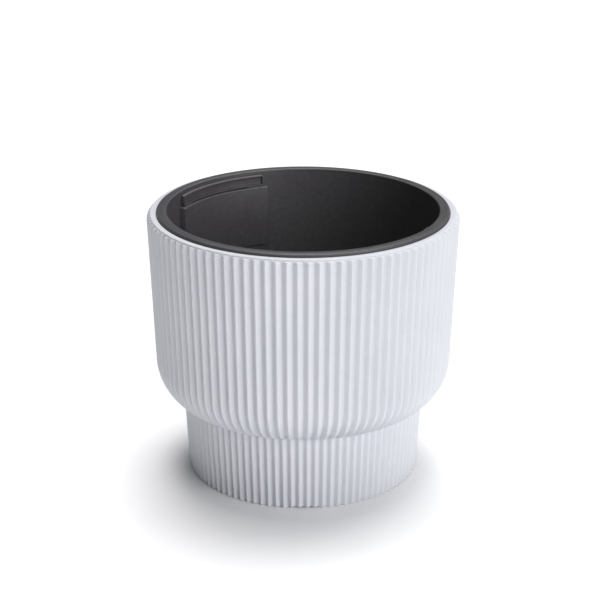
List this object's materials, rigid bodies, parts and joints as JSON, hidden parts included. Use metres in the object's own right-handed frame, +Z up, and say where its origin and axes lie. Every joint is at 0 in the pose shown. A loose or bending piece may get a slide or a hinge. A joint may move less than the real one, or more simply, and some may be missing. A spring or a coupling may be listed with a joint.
{
  "type": "self watering planter",
  "caption": "Ribbed round planter on a narrower foot, with a lift-out liner, pull-up handles, wick cups, a water gauge and a filler over a reservoir.",
  "frame": {"origin": "on the ground, at the centre of the foot", "axes": "+Z up; -Y is the front, the side the planter is seen from"},
  "size_m": [0.2996, 0.2996, 0.264],
  "materials": {
    "cover_plastic": "cool white, fine satin",
    "liner_plastic": "anthracite, satin",
    "insert_plastic": "mid grey, matte",
    "wick_fibre": "bonded fibre",
    "gauge_clear": "clear",
    "gauge_red": "red",
    "float_foam": "closed-cell foam",
    "pin_steel": "drawn",
    "seal_rubber": "black"
  },
  "bodies": {
    "cover": {"cover_pot": "cover_plastic", "drain_plug": "insert_plastic", "drain_seal": "seal_rubber"},
    "liner_unit": {"liner": "liner_plastic", "separator_plate": "insert_plastic", "wick_cup_1": "insert_plastic", "wick_cup_2": "insert_plastic", "wick_cup_3": "insert_plastic", "wick_rod_1": "wick_fibre", "wick_rod_2": "wick_fibre", "wick_rod_3": "wick_fibre", "gauge_tube": "insert_plastic", "gauge_cap": "gauge_clear", "filler_tube": "insert_plastic", "filler_hinge_pin": "pin_steel"},
    "rear_left_handle": {"handle_rear_left": "liner_plastic"},
    "front_right_handle": {"handle_front_right": "liner_plastic"},
    "level_float": {"gauge_float": "float_foam", "gauge_rod": "gauge_red"},
    "fill_lid": {"filler_lid": "liner_plastic"}
  },
  "joints": [
    {"name": "liner_lift", "type": "slide", "parent": "cover", "child": "liner_unit", "axis": [0, 0, 1], "range_m": [0, 0.26]},
    {"name": "rear_left_handle_pull", "type": "slide", "parent": "liner_unit", "child": "rear_left_handle", "axis": [0, 0, 1], "range_m": [0, 0.045]},
    {"name": "front_right_handle_pull", "type": "slide", "parent": "liner_unit", "child": "front_right_handle", "axis": [0, 0, 1], "range_m": [0, 0.045]},
    {"name": "float_rise", "type": "slide", "parent": "liner_unit", "child": "level_float", "axis": [0, 0, 1], "range_m": [0, 0.042]},
    {"name": "lid_hinge", "type": "hinge", "parent": "liner_unit", "child": "fill_lid", "pos_m": [-0.01358, -0.09665, 0.2336], "axis": [0.9903, -0.1392, 0], "range_deg": [0, 105]}
  ]
}
